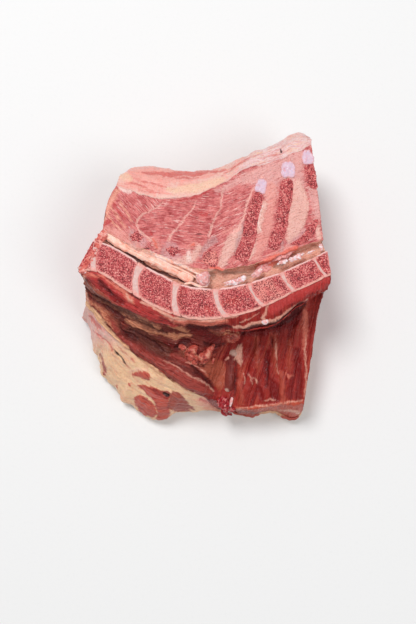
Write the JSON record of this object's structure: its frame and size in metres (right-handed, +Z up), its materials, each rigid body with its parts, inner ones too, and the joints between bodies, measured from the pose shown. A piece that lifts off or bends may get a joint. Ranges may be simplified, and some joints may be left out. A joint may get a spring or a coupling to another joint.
{
  "type": "raw lamb shoulder on the bone",
  "caption": "Raw shoulder of lamb with neck and chest wall, sawn through the spine: pink lean over a fat cover, split vertebrae, discs and gristle in the flat sawn face.",
  "frame": {"origin": "on the ground, in the middle of the outline seen from above", "axes": "+X from the neck cut towards the rib cut, +Y from the chest towards the back, +Z up out of the sawn face"},
  "size_m": [0.2164, 0.2481, 0.0971],
  "materials": {
    "lean_meat": "moist raw meat, cut across and along the grain",
    "fat": "cool firm outer fat, satin",
    "bone": "sawn spongy bone, red with marrow",
    "cartilage": "sawn gristle, smooth and moist",
    "disc": "sawn disc between vertebrae, smooth and moist",
    "cord": "soft cord with fat round it, moist",
    "soft_tissue": "fat and vessel ends inside the chest, moist",
    "clot": "clotted blood, wet"
  },
  "bodies": {
    "root": {"lean": "lean_meat", "fat_cover": "fat", "vertebra_1": "bone", "vertebra_2": "bone", "vertebra_3": "bone", "vertebra_4": "bone", "vertebra_5": "bone", "vertebra_6": "bone", "vertebra_7": "bone", "vertebra_8": "bone", "disc_1": "disc", "disc_2": "disc", "disc_3": "disc", "disc_4": "disc", "disc_5": "disc", "disc_6": "disc", "disc_7": "disc", "process_1": "bone", "process_2": "bone", "process_3": "bone", "process_4": "bone", "process_5": "bone", "arch_1": "bone", "arch_2": "bone", "cartilage_2": "cartilage", "cartilage_3": "cartilage", "cartilage_4": "cartilage", "spinal_cord": "cord", "first_rib": "cartilage", "lump_1": "soft_tissue", "lump_2": "soft_tissue", "lump_3": "soft_tissue", "clot": "clot"}
  },
  "joints": []
}
